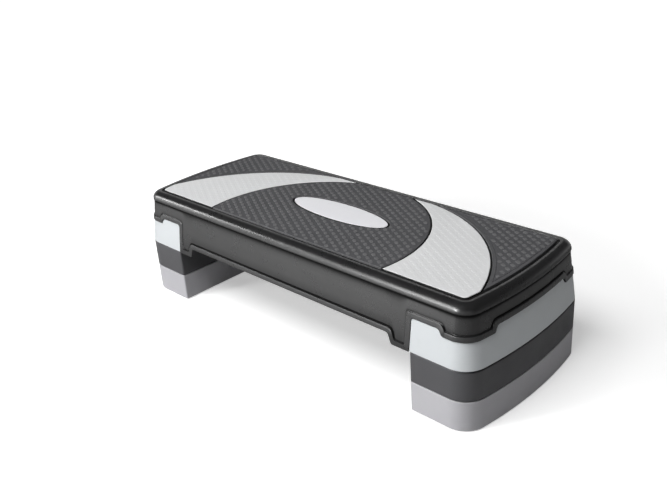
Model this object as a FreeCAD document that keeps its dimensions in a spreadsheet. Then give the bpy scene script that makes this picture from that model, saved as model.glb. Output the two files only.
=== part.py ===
import FreeCAD, Part
import Sketcher
import math
import os
import re
from FreeCAD import Vector

# Aerobic step platform: a moulded deck on two end feet, each standing on two stacking risers.
# Origin at the bottom centre, X along the platform, Z up, millimetres.

sizes = {
    # whole object
    "length": 780,
    "width": 300,
    "riser_height": 50,
    "platform_height": 97,
    "foot_length": 116,
    "end_radius": 735,
    "corner_radius": 38,
    "inner_corner_radius": 3,
    # risers and the sockets they stack in
    "riser_wall": 4,
    "edge_round": 1,
    "seam_gap": 1.2,
    "plug_height": 8,
    "plug_clearance": 0.6,
    "rib_thickness": 3,
    "riser_rib_drop": 14,
    # rubber pads
    "pad_diameter": 8,
    "pad_thickness": 3,
    "pad_clearance": 0.2,
    "boss_wall": 1.5,
    # platform shell
    "skirt_wall": 4,
    "skirt_lean": 11.5,
    "rim_inset": 10,
    "rim_height": 13.5,
    "crown_radius": 10,
    "recess_depth": 2,
    "deck_thickness": 5,
    "deck_rib_thickness": 3,
    # lower edge of the skirt
    "skirt_lift": 17,
    "tab_length": 34,
    "edge_slope": 6,
    "notch_height": 53,
    "notch_length": 48,
    "corner_tab_height": 43.4,
    "end_notch_width": 172,
    "end_notch_height": 54,
    "fit_gap": 0.5,
    # upper feet and their screws
    "foot_height": 60,
    "foot_plate": 4,
    "screw_diameter": 5,
    "screw_length": 20,
    "screw_head_diameter": 9.5,
    "screw_head_height": 3.5,
    "screw_slot_width": 1.2,
    "screw_slot_depth": 1.6,
    "screw_clearance": 0.3,
    "screw_boss_wall": 3.5,
    # inlays on the deck
    "field_inset": 32,
    "field_corner_radius": 8,
    "inlay_thickness": 4,
    "groove": 2.2,
    "oval_length": 214,
    "oval_width": 62,
    # how far a cutting shape runs past what it cuts
    "overrun": 5,
}

deckRibsAcross = 9
deckRibsAlong = 3
# cross ribs of a riser or foot, as shares of the width from the middle
crossRibShares = (-0.36, -0.12, 0.12, 0.36)
# screws of a foot: shares of its length from the inner face, and a share of the width from the middle
screwLongShares = (0.24, 0.72)
screwWideShare = 0.29
# where the arcs between the inlays cross the front edge, the middle and the back edge of the deck's field,
# as shares of the half length
archShares = (0.506, 0.4775, 0.1545)
sweepShares = (0.9215, 0.788, 0.2755)
# an edge counts as flat within this share of the overrun
flatShare = 0.001
cubicCentimetre = 1000

# Derived sizes, as formulas of the sizes above.
halfLength = "length / 2"
halfWidth = "width / 2"
innerFace = "(length / 2 - foot_length)"
endCentre = "(end_radius - length / 2)"
base = "(2 * riser_height)"
top = f"({base} + platform_height)"
skirtTop = f"({top} - rim_height)"
recessFloor = f"({top} - recess_depth)"
ceiling = f"({recessFloor} - deck_thickness)"
footTop = f"({base} + foot_height)"
lean = "(skirt_lean / (platform_height - rim_height))"
cornerX = "(sqrt((end_radius - corner_radius)^2 - (width / 2 - corner_radius)^2) - end_radius + length / 2)"
cornerY = "(width / 2 - corner_radius)"
padInset = "(riser_wall + pad_diameter / 2)"
padReach = f"(corner_radius - {padInset}) * sqrt(0.5)"
bossRadius = "(pad_diameter / 2 + boss_wall)"
plugInset = f"(riser_wall + plug_clearance + plug_height * {lean})"
hollowInset = f"({plugInset} + riser_wall)"
# inside the plug, the corners keep a full wall round the scallops that clear the pad bosses above
scallopReach = f"({bossRadius} + plug_clearance + riser_wall)"
hollowInnerCorner = f"(({padInset} - {hollowInset}) * sqrt(2) + {scallopReach}) / (sqrt(2) - 1)"
hollowReachIn = f"(sqrt(2) * (corner_radius - {hollowInset}) - corner_radius + {padInset} + {scallopReach})"
hollowCorner = f"{hollowReachIn} / (sqrt(2) - 1)"
padPlaces = [
    (f"{innerFace} + {padInset}", f"{halfWidth} - {padInset}"),
    (f"{innerFace} + {padInset}", f"-({halfWidth} - {padInset})"),
    (f"{cornerX} + {padReach}", f"{cornerY} + {padReach}"),
    (f"{cornerX} + {padReach}", f"-({cornerY} + {padReach})"),
]
screwPlaces = [
    (f"{innerFace} + {share} * foot_length", f"{side} * {screwWideShare} * width")
    for share in screwLongShares
    for side in (1, -1)
]

doc = FreeCAD.newDocument("StepPlatform")
sheet = doc.addObject("Spreadsheet::Sheet", "Sizes")
for row, (name, size) in enumerate(sizes.items(), start=1):
    sheet.set(f"A{row}", name)
    sheet.set(f"B{row}", str(size))
    sheet.setAlias(f"B{row}", name)
doc.recompute()


def formula(text):
    # names of sizes become references to the sheet's cells
    return re.sub(r"[a-z_]+", lambda word: f"Sizes.{word[0]}" if word[0] in sizes else word[0], text)


def value(text):
    return float(sheet.evalExpression(formula(text)))


def bind(item, prop, text):
    item.setExpression(prop, formula(text))


# Sketches

def bodySketch(body, name, plane, height="0"):
    # a sketch on one of the body's own origin planes, moved along the plane's normal
    sketch = body.newObject("Sketcher::SketchObject", name)
    support = next(item for item in body.Origin.OriginFeatures if item.Role == plane)
    sketch.AttachmentSupport = [(support, "")]
    sketch.MapMode = "FlatFace"
    bind(sketch, "AttachmentOffset.Base.z", height)
    return sketch


def freeSketch(name, height):
    sketch = doc.addObject("Sketcher::SketchObject", name)
    bind(sketch, "Placement.Base.z", height)
    return sketch


def dimension(sketch, kind, places, text):
    number = sketch.addConstraint(Sketcher.Constraint(kind, *places, value(text)))
    sketch.setExpression(f"Constraints[{number}]", formula(text))


def locate(sketch, kind, line, point, text):
    # distance of a point from the sketch's origin, measured to the side where the point lies
    if value(text) < 0:
        dimension(sketch, kind, (line, point, -1, 1), f"-({text})")
    else:
        dimension(sketch, kind, (-1, 1, line, point), text)


def roundOff(sketch, x, y, radius, start, end):
    circle = Part.Circle(Vector(x, y, 0), Vector(0, 0, 1), radius)
    return sketch.addGeometry(Part.ArcOfCircle(circle, start, end))


def straight(sketch, first, second):
    return sketch.addGeometry(Part.LineSegment(Vector(*first, 0), Vector(*second, 0)))


def bulgedEnd(sketch, side, wide, bulge, corner):
    # corner, end arc and corner of one end (side 1 is +X); every end arc keeps the same centre
    centre = value(endCentre)
    cornerPlace = math.sqrt((bulge - corner) ** 2 - (wide - corner) ** 2) - centre
    swing = math.atan2(wide - corner, cornerPlace + centre)
    turn = 0 if side > 0 else math.pi
    quarter = math.pi / 2
    x = side * cornerPlace
    y = side * (wide - corner)
    first = roundOff(sketch, x, -y, corner, turn - quarter, turn - swing)
    arc = roundOff(sketch, -side * centre, 0, bulge, turn - swing, turn + swing)
    last = roundOff(sketch, x, y, corner, turn + swing, turn + quarter)
    return cornerPlace, [first, arc, last]


def outline(sketch, inset, corner, inner=None, innerCorner=None):
    # The platform's plan, drawn inwards by the inset: straight sides and two bulged ends.
    # With an inner face it is the plan of one foot: that face, two straight sides and one bulged end.
    halfWide = f"{halfWidth} - ({inset})"
    bulgeText = f"end_radius - ({inset})"
    wide = value(halfWide)
    bulge = value(bulgeText)
    radius = value(corner)
    reach, east = bulgedEnd(sketch, 1, wide, bulge, radius)
    corners = [(east[0], corner), (east[2], corner)]
    ends = [(1, east[1])]
    if inner is None:
        reach, west = bulgedEnd(sketch, -1, wide, bulge, radius)
        corners += [(west[0], corner), (west[2], corner)]
        ends.append((-1, west[1]))
        start = -reach
    else:
        face = value(inner)
        small = value(innerCorner)
        start = face + small
        upper = roundOff(sketch, start, wide - small, small, math.pi / 2, math.pi)
        side = straight(sketch, (face, wide - small), (face, small - wide))
        lower = roundOff(sketch, start, small - wide, small, math.pi, 3 * math.pi / 2)
        west = [upper, side, lower]
        corners += [(upper, innerCorner), (lower, innerCorner)]
        sketch.addConstraint(Sketcher.Constraint("Vertical", side))
        locate(sketch, "DistanceX", side, 1, inner)
    back = straight(sketch, (reach, wide), (start, wide))
    front = straight(sketch, (start, -wide), (reach, -wide))
    chain = [front] + east + [back] + west
    for this, following in zip(chain, chain[1:] + chain[:1]):
        sketch.addConstraint(Sketcher.Constraint("Tangent", this, 2, following, 1))
    for line, text in ((front, f"-({halfWide})"), (back, halfWide)):
        sketch.addConstraint(Sketcher.Constraint("Horizontal", line))
        locate(sketch, "DistanceY", line, 1, text)
    for arc, text in corners:
        dimension(sketch, "Radius", (arc,), text)
    for side, arc in ends:
        dimension(sketch, "Radius", (arc,), bulgeText)
        sketch.addConstraint(Sketcher.Constraint("PointOnObject", arc, 3, -1))
        locate(sketch, "DistanceX", arc, 3, f"-{side} * {endCentre}")


def polygon(sketch, corners):
    # closed polygon whose corners are formulas, each bound to the origin by its two distances
    points = [(value(x), value(y)) for x, y in corners]
    lines = [straight(sketch, a, b) for a, b in zip(points, points[1:] + points[:1])]
    for this, following in zip(lines, lines[1:] + lines[:1]):
        sketch.addConstraint(Sketcher.Constraint("Coincident", this, 2, following, 1))
    for line, (x, y) in zip(lines, corners):
        locate(sketch, "DistanceX", line, 1, x)
        locate(sketch, "DistanceY", line, 1, y)


def thickness(middle, size):
    # the two sides of a wall of some thickness about its middle
    return (f"{middle} - {size} / 2", f"{middle} + {size} / 2")


def rectangle(sketch, left, right, lower, upper):
    polygon(sketch, [(left, lower), (right, lower), (right, upper), (left, upper)])


def circles(sketch, places, radius):
    for x, y in places:
        centre = Vector(value(x), value(y), 0)
        circle = sketch.addGeometry(Part.Circle(centre, Vector(0, 0, 1), value(radius)))
        dimension(sketch, "Radius", (circle,), radius)
        locate(sketch, "DistanceX", circle, 3, x)
        locate(sketch, "DistanceY", circle, 3, y)


# Features of a body

def pad(body, name, sketch, length):
    feature = body.newObject("PartDesign::Pad", name)
    feature.Profile = sketch
    bind(feature, "Length", length)
    doc.recompute()
    return feature


def pocket(body, name, sketch, length=None, upward=False):
    feature = body.newObject("PartDesign::Pocket", name)
    feature.Profile = sketch
    feature.Reversed = upward
    before = body.Shape.Volume
    if length is None:
        feature.Type = "ThroughAll"
        feature.Midplane = True
    else:
        bind(feature, "Length", length)
    doc.recompute()
    assert body.Shape.Volume < before, f"{body.Label} {name} cuts nothing"
    return feature


def edgesAtHeight(shape, height):
    # names of the edges that lie flat at a height, on the outermost outline there
    tolerance = value("overrun") * flatShare
    flat = []
    for number, edge in enumerate(shape.Edges, start=1):
        box = edge.BoundBox
        if abs(box.ZMin - height) < tolerance and box.ZLength < tolerance:
            flat.append((number, edge))
    loops = Part.sortEdges([edge for number, edge in flat])
    loop = max(loops, key=lambda edges: Part.Wire(edges).BoundBox.YLength)
    return [f"Edge{number}" for number, edge in flat if any(edge.isSame(other) for other in loop)]


def roundEdges(body, name, height, radius):
    last = body.Tip
    names = edgesAtHeight(last.Shape, value(height))
    feature = body.newObject("PartDesign::Fillet", name)
    feature.Base = (last, names)
    bind(feature, "Radius", radius)
    doc.recompute()


# Plain solids and booleans

def block(name, x, y, z):
    # box between pairs of formulas along each axis
    item = doc.addObject("Part::Box", name)
    for size, axis, (low, high) in (("Length", "x", x), ("Width", "y", y), ("Height", "z", z)):
        bind(item, size, f"({high}) - ({low})")
        bind(item, f"Placement.Base.{axis}", low)
    return item


def rod(name, place, z, radius):
    item = doc.addObject("Part::Cylinder", name)
    bind(item, "Radius", radius)
    bind(item, "Height", f"({z[1]}) - ({z[0]})")
    for axis, text in zip("xyz", (*place, z[0])):
        bind(item, f"Placement.Base.{axis}", text)
    return item


def cut(name, body, tool):
    item = doc.addObject("Part::Cut", name)
    item.Base = body
    item.Tool = tool
    return item


def common(name, first, second):
    item = doc.addObject("Part::Common", name)
    item.Base = first
    item.Tool = second
    return item


def fuse(name, shapes):
    item = doc.addObject("Part::MultiFuse", name)
    item.Shapes = shapes
    return item


def group(name, shapes):
    item = doc.addObject("Part::Compound", name)
    item.Links = shapes
    return item


def extrude(name, sketch, direction, length, both=False):
    item = doc.addObject("Part::Extrusion", name)
    item.Base = sketch
    item.DirMode = "Custom"
    item.Dir = direction
    item.Solid = True
    item.Symmetric = both
    bind(item, "LengthFwd", length)
    return item


def form(name, inset):
    # the skirt's flared form, drawn inwards by the inset, from below the skirt up to the deck's top
    low = freeSketch(f"{name}_low", f"{base} - overrun")
    outline(low, f"{inset} - overrun * {lean}", f"corner_radius + overrun * {lean} - ({inset})")
    high = freeSketch(f"{name}_high", top)
    rise = f"platform_height * {lean}"
    outline(high, f"{inset} + {rise}", f"corner_radius - {rise} - ({inset})")
    item = doc.addObject("Part::Loft", name)
    item.Sections = [low, high]
    item.Solid = True
    item.Ruled = True
    return item


nodes = []


def node(label, item):
    item.Label = label
    nodes.append(item)
    return item


def mirrored(label, source):
    # the left-hand piece is the right-hand one mirrored across the middle of the platform
    item = doc.addObject("Part::Mirroring", f"{label}_mirror")
    item.Source = source
    item.Normal = Vector(1, 0, 0)
    return node(label, item)


def pair(label, item):
    node(f"{label}_right", item)
    mirrored(f"{label}_left", item)


# Risers: a hollow moulding open below, with a raised plug on top that locates the piece above.

def riser(name, level):
    body = doc.addObject("PartDesign::Body", f"{name}_body")
    bind(body, "Placement.Base.z", f"{level} * riser_height")

    plan = bodySketch(body, f"{name}_plan", "XY_Plane", "seam_gap")
    outline(plan, "0", "corner_radius", innerFace, "inner_corner_radius")
    pad(body, f"{name}_wall", plan, "riser_height - seam_gap")
    roundEdges(body, f"{name}_lower_edge", "seam_gap", "edge_round")
    roundEdges(body, f"{name}_upper_edge", "riser_height", "edge_round")

    plug = bodySketch(body, f"{name}_plug_plan", "XY_Plane", "riser_height")
    plugFace = f"{innerFace} + {plugInset}"
    outline(plug, plugInset, f"corner_radius - {plugInset}", plugFace, "inner_corner_radius")
    pad(body, f"{name}_plug", plug, "plug_height")
    roundEdges(body, f"{name}_plug_edge", "riser_height + plug_height", "edge_round")
    scallops = bodySketch(body, f"{name}_scallop_plan", "XY_Plane", "riser_height + plug_height")
    circles(scallops, padPlaces, f"{bossRadius} + plug_clearance")
    pocket(body, f"{name}_scallops", scallops, "plug_height")

    socket = bodySketch(body, f"{name}_socket_plan", "XY_Plane", "seam_gap")
    socketFace = f"{innerFace} + riser_wall"
    outline(socket, "riser_wall", "corner_radius - riser_wall", socketFace, "inner_corner_radius")
    pocket(body, f"{name}_socket", socket, "riser_height - seam_gap - riser_wall", upward=True)

    hollow = bodySketch(body, f"{name}_plug_hollow_plan", "XY_Plane", "riser_height - riser_wall")
    outline(hollow, hollowInset, hollowCorner, f"{innerFace} + {hollowInset}", hollowInnerCorner)
    pocket(body, f"{name}_plug_hollow", hollow, "plug_height", upward=True)

    ribFloor = "riser_height - riser_wall - riser_rib_drop"
    ribRise = "riser_rib_drop + plug_height + riser_wall / 2"
    ribEnd = f"({plugInset} + riser_wall / 2)"
    crossPlan = bodySketch(body, f"{name}_rib_plan", "XY_Plane", ribFloor)
    for share in crossRibShares:
        ribSides = thickness(f"{share} * width", "rib_thickness")
        rectangle(crossPlan, f"{innerFace} + {ribEnd}", f"{cornerX} + {padReach}", *ribSides)
    pad(body, f"{name}_ribs", crossPlan, ribRise)
    longPlan = bodySketch(body, f"{name}_long_rib_plan", "XY_Plane", ribFloor)
    longSides = thickness(f"({innerFace} + foot_length / 2)", "rib_thickness")
    rectangle(longPlan, *longSides, f"-({halfWidth} - {ribEnd})", f"{halfWidth} - {ribEnd}")
    pad(body, f"{name}_long_rib", longPlan, ribRise)

    bosses = bodySketch(body, f"{name}_boss_plan", "XY_Plane", "seam_gap")
    circles(bosses, padPlaces, bossRadius)
    pad(body, f"{name}_bosses", bosses, "riser_height - seam_gap - riser_wall / 2")
    seats = bodySketch(body, f"{name}_pad_seat_plan", "XY_Plane", "seam_gap")
    circles(seats, padPlaces, "pad_diameter / 2 + pad_clearance")
    pocket(body, f"{name}_pad_seats", seats, "pad_thickness - seam_gap", upward=True)
    return body


def pads(name, floor):
    discs = [
        rod(f"{name}_{number}", place, (floor, f"{floor} + pad_thickness"), "pad_diameter / 2")
        for number, place in enumerate(padPlaces)
    ]
    return group(name, discs)


for level, name in enumerate(("lower_riser", "middle_riser")):
    pair(name, riser(name, level))
    pair(f"{name}_pads", pads(f"{name}_pad", f"{level} * riser_height"))

# Edge of the skirt: seen from the front, then from the end. The feet fill the notches with a small gap.

wholeLength = (f"-({halfLength} + overrun)", f"{halfLength} + overrun")
wholeWidth = (f"-({halfWidth} + overrun)", f"{halfWidth} + overrun")


def notchCorners(side, floor, gap):
    # notch beside one foot: upright edge, level top, slope down to the corner tab, then out past the end
    start = f"{innerFace} + {gap} - fit_gap"
    finish = f"{innerFace} + notch_length - {gap}"
    rise = f"{base} + notch_height - {gap}"
    tab = f"{base} + corner_tab_height - {gap}"
    places = [
        (start, floor),
        (start, rise),
        (finish, rise),
        (f"{finish} + edge_slope", tab),
        (wholeLength[1], tab),
        (wholeLength[1], floor),
    ]
    return [(f"{side} * ({x})", z) for x, z in places]


def endNotchCorners(floor, gap):
    half = f"(end_notch_width / 2 - {gap})"
    rise = f"{base} + end_notch_height - {gap}"
    tab = f"{base} + corner_tab_height - {gap}"
    foot = f"({half} + edge_slope)"
    return [
        (f"-{foot}", floor),
        (foot, floor),
        (foot, tab),
        (half, rise),
        (f"-{half}", rise),
        (f"-{foot}", tab),
    ]


def uprightSketch(name, plane):
    # free sketch standing in the XZ or YZ plane
    sketch = doc.addObject("Sketcher::SketchObject", name)
    turns = {"front": (Vector(1, 0, 0), 90), "end": (Vector(1, 1, 1), 120)}
    sketch.Placement = FreeCAD.Placement(Vector(0, 0, 0), FreeCAD.Rotation(*turns[plane]))
    return sketch


# Platform shell: flared skirt, rounded rim, recess for the inlays, notched lower edge, ribs underneath.

shell = doc.addObject("PartDesign::Body", "shell_body")
skirtLow = bodySketch(shell, "skirt_low", "XY_Plane", base)
outline(skirtLow, "0", "corner_radius")
skirtHigh = bodySketch(shell, "skirt_high", "XY_Plane", skirtTop)
outline(skirtHigh, "skirt_lean", "corner_radius - skirt_lean")
skirt = shell.newObject("PartDesign::AdditiveLoft", "skirt")
skirt.Profile = skirtLow
skirt.Sections = [skirtHigh]
skirt.Ruled = True
doc.recompute()

rimPlan = bodySketch(shell, "rim_plan", "XY_Plane", skirtTop)
outline(rimPlan, "rim_inset", "corner_radius - rim_inset")
pad(shell, "rim", rimPlan, "rim_height")
roundEdges(shell, "crown", top, "crown_radius")

recessPlan = bodySketch(shell, "recess_plan", "XY_Plane", top)
outline(recessPlan, "field_inset - groove", "field_corner_radius + groove")
pocket(shell, "recess", recessPlan, "recess_depth")

frontEdge = bodySketch(shell, "front_edge", "XZ_Plane")
tabStart = f"({innerFace} - fit_gap - tab_length)"
polygon(frontEdge, [
    (f"-{tabStart}", f"{base} - overrun"),
    (tabStart, f"{base} - overrun"),
    (tabStart, base),
    (f"{tabStart} - edge_slope", f"{base} + skirt_lift"),
    (f"-({tabStart} - edge_slope)", f"{base} + skirt_lift"),
    (f"-{tabStart}", base),
])
for side in (1, -1):
    polygon(frontEdge, notchCorners(side, f"{base} - overrun", "0"))
pocket(shell, "front_notches", frontEdge)

endEdge = bodySketch(shell, "end_edge", "YZ_Plane")
polygon(endEdge, endNotchCorners(f"{base} - overrun", "0"))
pocket(shell, "end_notches", endEdge)

underBlock = block("under_block", wholeLength, wholeWidth, (f"{base} - overrun", ceiling))
under = common("under_deck", form("cavity_form", "skirt_wall"), underBlock)
ribHeights = (footTop, f"{ceiling} + overrun")
ribs = []
for number in range(deckRibsAcross):
    edges = thickness(f"{number + 1} * length / {deckRibsAcross + 1} - {halfLength}", "deck_rib_thickness")
    ribs.append(block(f"rib_across_{number}", edges, wholeWidth, ribHeights))
for number in range(deckRibsAlong):
    edges = thickness(f"{number + 1} * width / {deckRibsAlong + 1} - {halfWidth}", "deck_rib_thickness")
    ribs.append(block(f"rib_along_{number}", wholeLength, edges, ribHeights))
screwTip = f"({footTop} - foot_plate + screw_length)"
holes = []
for side in (1, -1):
    for number, (x, y) in enumerate(screwPlaces):
        place = (f"{side} * ({x})", y)
        tag = f"{number}_{'right' if side > 0 else 'left'}"
        ribs.append(rod(f"screw_boss_{tag}", place, ribHeights, "screw_diameter / 2 + screw_boss_wall"))
        depth = (f"{footTop} - overrun", f"{screwTip} + screw_clearance")
        holes.append(rod(f"boss_hole_{tag}", place, depth, "screw_diameter / 2 + screw_clearance"))
hollow = cut("deck_hollow", under, fuse("deck_ribs", ribs))
hollowed = cut("shell_hollowed", shell, hollow)
node("platform_shell", cut("shell_drilled", hollowed, group("boss_holes", holes)))

# Upper feet: outside the skirt's edge they are flush with it, inside it they rise to the deck's ribs.

footLow = f"{base} + seam_gap"
tongue = uprightSketch("tongue_edge", "front")
polygon(tongue, notchCorners(1, footLow, "fit_gap"))
tongueBlock = extrude("tongue_block", tongue, Vector(0, 1, 0), "width + overrun", both=True)
endTongue = uprightSketch("end_tongue_edge", "end")
polygon(endTongue, endNotchCorners(footLow, "fit_gap"))
endBlock = extrude("end_tongue_block", endTongue, Vector(1, 0, 0), f"{halfLength} + overrun")
footReach = (innerFace, wholeLength[1])
endReach = block("foot_end_block", footReach, wholeWidth, (footLow, footTop))
endTongueBlock = common("end_tongue", endBlock, endReach)
skin = common("foot_skin", form("skirt_form", "0"), fuse("foot_reach", [tongueBlock, endTongueBlock]))
coreBlock = block("core_block", footReach, wholeWidth, (footLow, footTop))
core = common("foot_core", form("core_form", "skirt_wall + fit_gap"), coreBlock)
solid = fuse("foot_solid", [skin, core])

hollowReach = (f"{innerFace} + riser_wall", wholeLength[1])
ledge = f"{base} + corner_tab_height - fit_gap - foot_plate"
lowerBlock = block("foot_socket_block", hollowReach, wholeWidth, (f"{base} - overrun", ledge))
lowerSocket = common("foot_socket", form("socket_form", "riser_wall"), lowerBlock)
hollowHeights = (f"{base} - overrun", f"{footTop} - foot_plate")
upperBlock = block("foot_hollow_block", hollowReach, wholeWidth, hollowHeights)
upperHollow = common("foot_hollow", form("hollow_form", "skirt_wall + fit_gap + foot_plate"), upperBlock)
inside = [
    rod(f"foot_boss_{number}", place, (f"{base} - overrun", footTop), bossRadius)
    for number, place in enumerate(padPlaces)
]
footRibs = (f"{ledge} - riser_rib_drop", footTop)
for number, share in enumerate(crossRibShares):
    edges = thickness(f"{share} * width", "rib_thickness")
    inside.append(block(f"foot_rib_{number}", footReach, edges, footRibs))
spaces = fuse("foot_spaces", [lowerSocket, upperHollow])
footHollow = cut("foot_inside", spaces, fuse("foot_inside_walls", inside))
plateDepth = (f"{footTop} - foot_plate - overrun", f"{footTop} + overrun")
footHoles = [
    rod(f"foot_hole_{number}", place, plateDepth, "screw_diameter / 2 + screw_clearance")
    for number, place in enumerate(screwPlaces)
]
seatDepth = (f"{base} - overrun", f"{base} + pad_thickness")
seats = [
    rod(f"foot_pad_seat_{number}", place, seatDepth, "pad_diameter / 2 + pad_clearance")
    for number, place in enumerate(padPlaces)
]
footHollowed = cut("foot_hollowed", solid, footHollow)
foot = cut("foot_drilled", footHollowed, group("foot_cuts", footHoles + seats))
pair("upper_foot", foot)
pair("upper_foot_pads", pads("upper_foot_pad", base))

# Screws: round head under the foot's plate, shank up into the deck's boss, cross slot in the head.

headTop = f"({footTop} - foot_plate)"
headLow = f"({headTop} - screw_head_height)"
screws = []
for number, place in enumerate(screwPlaces):
    head = rod(f"screw_head_{number}", place, (headLow, headTop), "screw_head_diameter / 2")
    shank = rod(f"screw_shank_{number}", place, (headTop, screwTip), "screw_diameter / 2")
    x, y = place
    slotHeights = (f"{headLow} - overrun", f"{headLow} + screw_slot_depth")
    longSides = (thickness(x, "screw_diameter"), thickness(y, "screw_slot_width"))
    wideSides = (thickness(x, "screw_slot_width"), thickness(y, "screw_diameter"))
    slots = [
        block(f"screw_slot_long_{number}", *longSides, slotHeights),
        block(f"screw_slot_wide_{number}", *wideSides, slotHeights),
    ]
    solidScrew = fuse(f"screw_solid_{number}", [head, shank])
    screws.append(cut(f"screw_{number}", solidScrew, fuse(f"screw_slots_{number}", slots)))
pair("upper_foot_screws", group("screw_set", screws))

# Inlays: one field cut by two arcs on each side, all the grooves of one width, and an oval in the middle.

inlayTop = f"({recessFloor} + inlay_thickness)"
inlayHeights = (f"{recessFloor} - overrun", f"{inlayTop} + overrun")


def field(name):
    plan = freeSketch(f"{name}_plan", recessFloor)
    outline(plan, "field_inset", "field_corner_radius")
    return extrude(name, plan, Vector(0, 0, 1), "inlay_thickness")


def arcThrough(shares):
    # centre and radius of the circle through a point on the field's front edge, its middle and its back edge
    front, middle, back = [f"({share} * {halfLength})" for share in shares]
    reach = f"({halfWidth} - field_inset)"
    x = f"((({front}^2 + {back}^2) / 2 + {reach}^2 - {middle}^2) / ({front} + {back} - 2 * {middle}))"
    y = f"(({back} - {front}) * ({back} + {front} - 2 * {x}) / (4 * {reach}))"
    return x, y, f"sqrt(({middle} - {x})^2 + {y}^2)"


def middleSide(name, circle, side, grow="0"):
    # all that lies on the middle's side of an arc: the arc's disc, and everything past its centre
    x, y, radius = circle
    centre = f"{side} * {x}"
    disc = rod(f"{name}_disc", (centre, y), inlayHeights, f"{radius} + {grow}")
    beyond = (wholeLength[0], centre) if side > 0 else (centre, wholeLength[1])
    return fuse(name, [disc, block(f"{name}_beyond", beyond, wholeWidth, inlayHeights)])


arch = arcThrough(archShares)
sweep = arcThrough(sweepShares)


def oval(name, grow, heights):
    plan = doc.addObject("Part::Ellipse", f"{name}_plan")
    bind(plan, "MajorRadius", f"oval_length / 2 + {grow}")
    bind(plan, "MinorRadius", f"oval_width / 2 + {grow}")
    bind(plan, "Placement.Base.z", heights[0])
    return extrude(name, plan, Vector(0, 0, 1), f"({heights[1]}) - ({heights[0]})")


plate = oval("plate_solid", "0", (recessFloor, inlayTop))
node("centre_plate", plate)

archway = common("archway", middleSide("arch_right", arch, 1), middleSide("arch_left", arch, -1))
centreMat = common("centre_mat_solid", field("centre_field"), archway)
node("deck_mat_centre", cut("centre_mat", centreMat, oval("oval_hole", "groove", inlayHeights)))

crescent = common("crescent_solid", field("crescent_field"), middleSide("crescent_sweep", sweep, 1))
pair("crescent", cut("crescent", crescent, middleSide("crescent_arch", arch, 1, "groove")))
pair("deck_mat", cut("end_mat", field("end_field"), middleSide("end_sweep", sweep, 1, "groove")))

doc.recompute()
for item in doc.Objects:
    assert not {"Invalid", "Error"} & set(item.State), f"{item.Name} failed: {item.State}"
for item in nodes:
    shape = item.Shape
    assert not shape.isNull() and shape.isValid(), f"{item.Label} has no valid shape"
    print(f"{item.Label}: {len(shape.Solids)} solid(s), {shape.Volume / cubicCentimetre:.1f} cm3")

os.makedirs("parts", exist_ok=True)
for item in nodes:
    item.Shape.exportStep(f"parts/{item.Label}.step")
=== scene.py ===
import math

import bpy
import numpy as np
from mathutils import Matrix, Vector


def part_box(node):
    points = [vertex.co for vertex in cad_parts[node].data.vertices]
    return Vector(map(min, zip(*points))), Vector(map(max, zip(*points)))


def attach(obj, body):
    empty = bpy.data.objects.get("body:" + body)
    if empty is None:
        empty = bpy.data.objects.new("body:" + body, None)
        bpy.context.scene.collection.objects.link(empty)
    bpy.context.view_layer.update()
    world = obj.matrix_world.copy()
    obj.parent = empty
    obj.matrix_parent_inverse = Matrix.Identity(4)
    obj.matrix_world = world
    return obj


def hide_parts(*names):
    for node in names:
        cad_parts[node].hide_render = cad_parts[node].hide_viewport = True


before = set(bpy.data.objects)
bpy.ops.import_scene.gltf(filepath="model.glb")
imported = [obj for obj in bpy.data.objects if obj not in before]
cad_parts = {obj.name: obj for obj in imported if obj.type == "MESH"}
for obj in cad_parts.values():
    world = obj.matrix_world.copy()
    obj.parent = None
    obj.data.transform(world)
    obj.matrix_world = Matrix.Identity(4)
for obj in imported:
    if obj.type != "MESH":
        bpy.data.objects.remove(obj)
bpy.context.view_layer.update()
mm = 0.001  # shapes are worked out in millimetres, meshes are in metres


def nodeBox(node):
    # a node's lowest and highest corner, in millimetres
    low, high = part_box(node)
    return np.array(low) / mm, np.array(high) / mm


shellLow, shellHigh = nodeBox("platform_shell")
riserHigh = nodeBox("lower_riser_right")[1]
plateHigh = nodeBox("centre_plate")[1]
halfLength, halfWidth = (float(reach) for reach in riserHigh[:2])
print("frame loaded:", len(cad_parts), "nodes")


# Mesh helpers

def gridFaces(rows, columns):
    # quads between neighbouring rings and columns, the last column joined to the first
    row, column = np.meshgrid(np.arange(rows - 1) * columns, np.arange(columns), indexing="ij")
    after = (column + 1) % columns
    corners = [row + column, row + columns + column, row + columns + after, row + after]
    return np.stack(corners, axis=-1).reshape(-1, 4)


def tube(rings, firstCap="face", lastCap="face"):
    # closed rings (rows, columns, 3) joined into a skin; a cap is one flat face, a fan about its middle or,
    # for a ring that lies open, none
    rows, columns = rings.shape[:2]
    points = rings.reshape(-1, 3)
    faces = [gridFaces(rows, columns)]
    ends = [(firstCap, np.arange(columns)), (lastCap, (rows - 1) * columns + np.arange(columns)[::-1])]
    for cap, ring in ends:
        if cap == "face":
            faces.append(ring[None])
        elif cap == "fan":
            middle = np.full(columns, len(points))
            points = np.concatenate([points, points[ring].mean(axis=0, keepdims=True)])
            faces.append(np.stack([middle, ring, np.roll(ring, -1)], axis=-1))
    return points, faces


def joined(shapes):
    # several skins as one list of points and faces
    starts = np.cumsum([0] + [len(points) for points, faces in shapes])
    points = np.concatenate([points for points, faces in shapes])
    faces = [array + start for start, (_, arrays) in zip(starts, shapes) for array in arrays]
    return points, faces


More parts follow.
